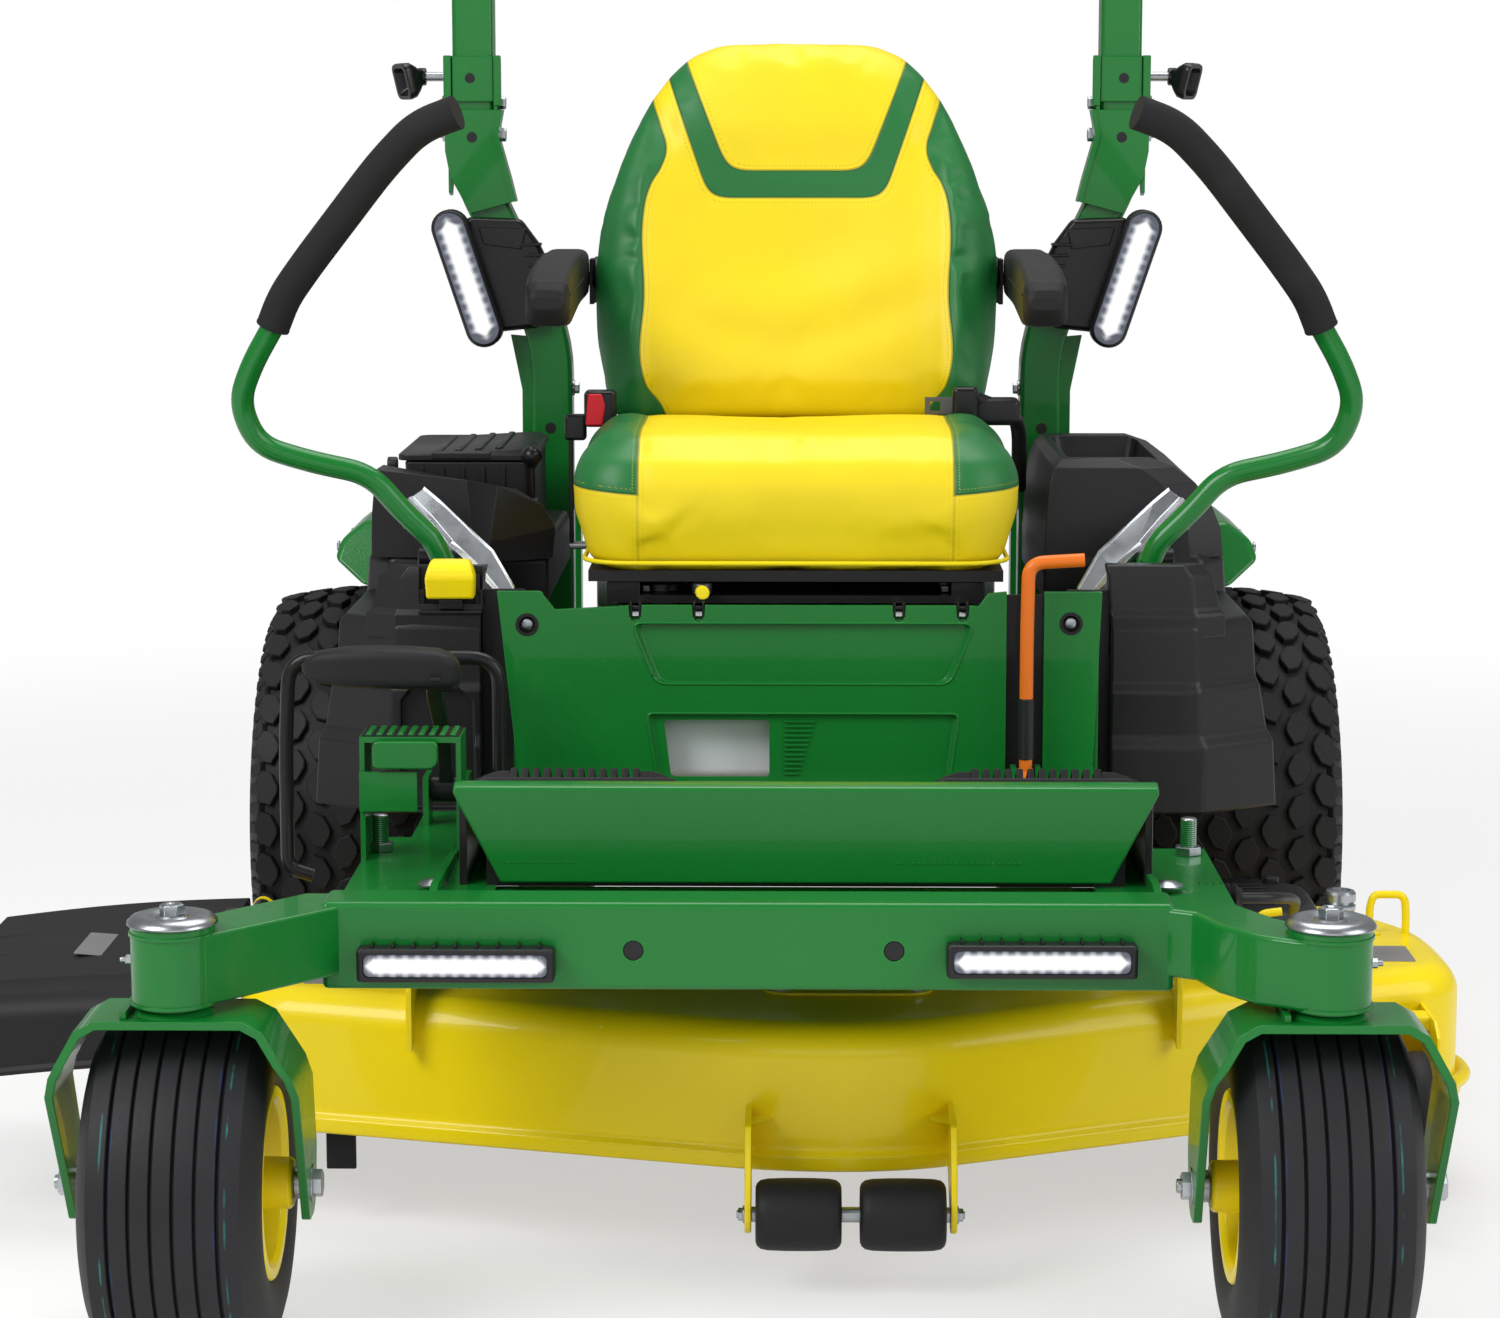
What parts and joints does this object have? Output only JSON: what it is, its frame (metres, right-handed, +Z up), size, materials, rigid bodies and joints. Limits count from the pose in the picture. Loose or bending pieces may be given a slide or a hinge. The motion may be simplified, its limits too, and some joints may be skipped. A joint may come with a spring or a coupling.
{
  "type": "riding lawn mower",
  "caption": "Zero-turn riding mower: caster front axle, drive wheels, three-blade deck with side chute, padded seat, two steering levers and a folding roll bar.",
  "frame": {"origin": "centre of the overall box, at the ground", "axes": "+Z up, +Y towards the rear along the length, so the front faces -Y; +X towards the operator's left"},
  "size_m": [1.631, 1.9788, 1.8],
  "materials": {
    "green_paint": "gloss paint",
    "yellow_paint": "gloss paint",
    "orange_paint": "gloss paint",
    "black_plastic": "moulded, fine grain",
    "tyre_rubber": "ribbed tyre",
    "soft_rubber": "matte",
    "zinc": "zinc plated",
    "steel": "bare",
    "alloy": "cast",
    "tank_plastic": "translucent white",
    "seat_cover": "stitched vinyl",
    "lamp": "clear lens"
  },
  "bodies": {
    "chassis": {"main_frame": "green_paint", "front_axle": "green_paint", "transaxle_left": "alloy", "transaxle_right": "alloy", "footplate": "green_paint", "foot_pad_left": "soft_rubber", "foot_pad_right": "soft_rubber", "front_panel": "green_paint", "fuel_tank": "tank_plastic", "fender_left": "black_plastic", "fender_right": "black_plastic", "console_box": "black_plastic", "rops_lower": "green_paint", "rops_lamp_left": "lamp", "rops_lamp_right": "lamp", "light_bar_left": "lamp", "light_bar_right": "lamp", "seat_base": "steel", "engine_block": "alloy", "engine_shroud": "black_plastic", "rear_guard": "green_paint"},
    "seat": {"seat_shell": "black_plastic", "seat_cushion": "seat_cover", "seat_backrest": "seat_cover", "belt_buckle": "black_plastic"},
    "armrest_l": {"armrest_left": "soft_rubber"},
    "armrest_r": {"armrest_right": "soft_rubber"},
    "slide_handle": {"seat_slide_lever": "yellow_paint"},
    "caster_l": {"fork_left": "green_paint"},
    "caster_r": {"fork_right": "green_paint"},
    "caster_wheel_l": {"caster_tyre_left": "tyre_rubber", "caster_rim_left": "yellow_paint"},
    "caster_wheel_r": {"caster_tyre_right": "tyre_rubber", "caster_rim_right": "yellow_paint"},
    "drive_wheel_l": {"rear_tyre_left": "tyre_rubber", "rear_rim_left": "yellow_paint"},
    "drive_wheel_r": {"rear_tyre_right": "tyre_rubber", "rear_rim_right": "yellow_paint"},
    "rocker_l": {"lever_bracket_left": "zinc"},
    "rocker_r": {"lever_bracket_right": "zinc"},
    "steer_lever_l": {"lever_left": "green_paint", "grip_left": "soft_rubber"},
    "steer_lever_r": {"lever_right": "green_paint", "grip_right": "soft_rubber"},
    "hoop": {"rops_hoop": "green_paint"},
    "lock_pin_l": {"rops_pin_left": "black_plastic"},
    "lock_pin_r": {"rops_pin_right": "black_plastic"},
    "lid": {"console_lid": "black_plastic"},
    "parking_brake": {"brake_lever": "orange_paint"},
    "latch": {"yellow_latch": "yellow_paint"},
    "throttle": {"throttle_lever": "steel"},
    "deck": {"deck_shell": "yellow_paint"},
    "pedal": {"lift_pedal": "steel"},
    "chute": {"discharge_chute": "soft_rubber"},
    "roller_l": {"deck_roller_left": "black_plastic"},
    "roller_r": {"deck_roller_right": "black_plastic"},
    "side_wheel": {"gauge_wheel": "black_plastic"},
    "blade_l": {"spindle_left": "steel"},
    "blade_c": {"spindle_centre": "steel"},
    "blade_r": {"spindle_right": "steel"}
  },
  "joints": [
    {"name": "caster_swivel_left", "type": "hinge", "parent": "chassis", "child": "caster_l", "pos_m": [-0.4765, -0.88964, 0.39], "axis": [0, 0, 1], "continuous": true},
    {"name": "caster_roll_left", "type": "hinge", "parent": "caster_l", "child": "caster_wheel_l", "pos_m": [-0.4765, -0.82464, 0.165], "axis": [1, 0, 0], "continuous": true},
    {"name": "drive_roll_left", "type": "hinge", "parent": "chassis", "child": "drive_wheel_l", "pos_m": [-0.45, 0.41036, 0.28], "axis": [1, 0, 0], "continuous": true},
    {"name": "lever_rock_left", "type": "hinge", "parent": "chassis", "child": "rocker_l", "pos_m": [-0.3085, -0.03364, 0.652], "axis": [1, 0, 0], "range_deg": [-12, 15]},
    {"name": "lever_swing_left", "type": "hinge", "parent": "rocker_l", "child": "steer_lever_l", "pos_m": [-0.3085, -0.07764, 0.652], "axis": [0, 1, 0], "range_deg": [0, 16]},
    {"name": "lock_pin_left", "type": "slide", "parent": "chassis", "child": "lock_pin_l", "axis": [-1, 0, 0], "range_m": [-0.026, 0]},
    {"name": "armrest_flip_left", "type": "hinge", "parent": "seat", "child": "armrest_l", "pos_m": [-0.1935, 0.34236, 0.948], "axis": [-1, 0, 0], "range_deg": [0, 85]},
    {"name": "roller_turn_left", "type": "hinge", "parent": "deck", "child": "roller_l", "pos_m": [0.0875, -0.64964, 0.0815], "axis": [1, 0, 0], "continuous": true},
    {"name": "caster_swivel_right", "type": "hinge", "parent": "chassis", "child": "caster_r", "pos_m": [0.5635, -0.88964, 0.39], "axis": [0, 0, 1], "continuous": true},
    {"name": "caster_roll_right", "type": "hinge", "parent": "caster_r", "child": "caster_wheel_r", "pos_m": [0.5635, -0.82464, 0.165], "axis": [1, 0, 0], "continuous": true},
    {"name": "drive_roll_right", "type": "hinge", "parent": "chassis", "child": "drive_wheel_r", "pos_m": [0.617, 0.41036, 0.28], "axis": [1, 0, 0], "continuous": true},
    {"name": "lever_rock_right", "type": "hinge", "parent": "chassis", "child": "rocker_r", "pos_m": [0.4755, -0.03364, 0.652], "axis": [1, 0, 0], "range_deg": [-12, 15]},
    {"name": "lever_swing_right", "type": "hinge", "parent": "rocker_r", "child": "steer_lever_r", "pos_m": [0.4755, -0.07764, 0.652], "axis": [0, -1, 0], "range_deg": [0, 16]},
    {"name": "lock_pin_right", "type": "slide", "parent": "chassis", "child": "lock_pin_r", "axis": [1, 0, 0], "range_m": [-0.026, 0]},
    {"name": "armrest_flip_right", "type": "hinge", "parent": "seat", "child": "armrest_r", "pos_m": [0.3605, 0.34236, 0.948], "axis": [-1, 0, 0], "range_deg": [0, 85]},
    {"name": "roller_turn_right", "type": "hinge", "parent": "deck", "child": "roller_r", "pos_m": [0.1895, -0.64964, 0.0815], "axis": [1, 0, 0], "continuous": true},
    {"name": "hoop_fold", "type": "hinge", "parent": "chassis", "child": "hoop", "pos_m": [0.0835, 0.53036, 1.16], "axis": [-1, 0, 0], "range_deg": [0, 100]},
    {"name": "seat_slide", "type": "slide", "parent": "chassis", "child": "seat", "axis": [0, 1, 0], "range_m": [-0.03, 0.06]},
    {"name": "slide_handle_turn", "type": "hinge", "parent": "seat", "child": "slide_handle", "pos_m": [-0.0185, -0.16164, 0.634], "axis": [0, 0, 1], "range_deg": [-12, 12]},
    {"name": "lid_open", "type": "hinge", "parent": "chassis", "child": "lid", "pos_m": [-0.3095, 0.43036, 0.744], "axis": [-1, 0, 0], "range_deg": [0, 60]},
    {"name": "brake_pull", "type": "hinge", "parent": "chassis", "child": "parking_brake", "pos_m": [0.3295, -0.25964, 0.442], "axis": [1, 0, 0], "range_deg": [0, 20]},
    {"name": "latch_pull", "type": "hinge", "parent": "chassis", "child": "latch", "pos_m": [-0.2915, -0.16264, 0.664], "axis": [-1, 0, 0], "range_deg": [0, 25]},
    {"name": "throttle_move", "type": "hinge", "parent": "chassis", "child": "throttle", "pos_m": [-0.2235, 0.12036, 0.694], "axis": [1, 0, 0], "range_deg": [-15, 15]},
    {"name": "deck_lift", "type": "slide", "parent": "chassis", "child": "deck", "axis": [0, 0, 1], "range_m": [0, 0.04]},
    {"name": "pedal_push", "type": "hinge", "parent": "chassis", "child": "pedal", "pos_m": [-0.2865, -0.28764, 0.436], "axis": [1, 0, 0], "range_deg": [0, 10.1]},
    {"name": "chute_flip", "type": "hinge", "parent": "deck", "child": "chute", "pos_m": [-0.5155, -0.23964, 0.262], "axis": [0, 1, 0], "range_deg": [0, 85]},
    {"name": "side_wheel_turn", "type": "hinge", "parent": "deck", "child": "side_wheel", "pos_m": [0.7285, -0.42564, 0.12], "axis": [1, 0, 0], "continuous": true},
    {"name": "blade_turn_left", "type": "hinge", "parent": "deck", "child": "blade_l", "pos_m": [-0.2765, -0.24964, 0.2], "axis": [0, 0, 1], "continuous": true},
    {"name": "blade_turn_centre", "type": "hinge", "parent": "deck", "child": "blade_c", "pos_m": [0.1385, -0.35964, 0.2], "axis": [0, 0, 1], "continuous": true},
    {"name": "blade_turn_right", "type": "hinge", "parent": "deck", "child": "blade_r", "pos_m": [0.5535, -0.17764, 0.2], "axis": [0, 0, 1], "continuous": true}
  ],
  "couplings": [
    {"joint": "pedal_push", "follows": "deck_lift", "rad_per_m": 4.3633},
    {"joint": "blade_turn_centre", "follows": "blade_turn_left", "ratio": 1},
    {"joint": "blade_turn_right", "follows": "blade_turn_left", "ratio": 1}
  ]
}
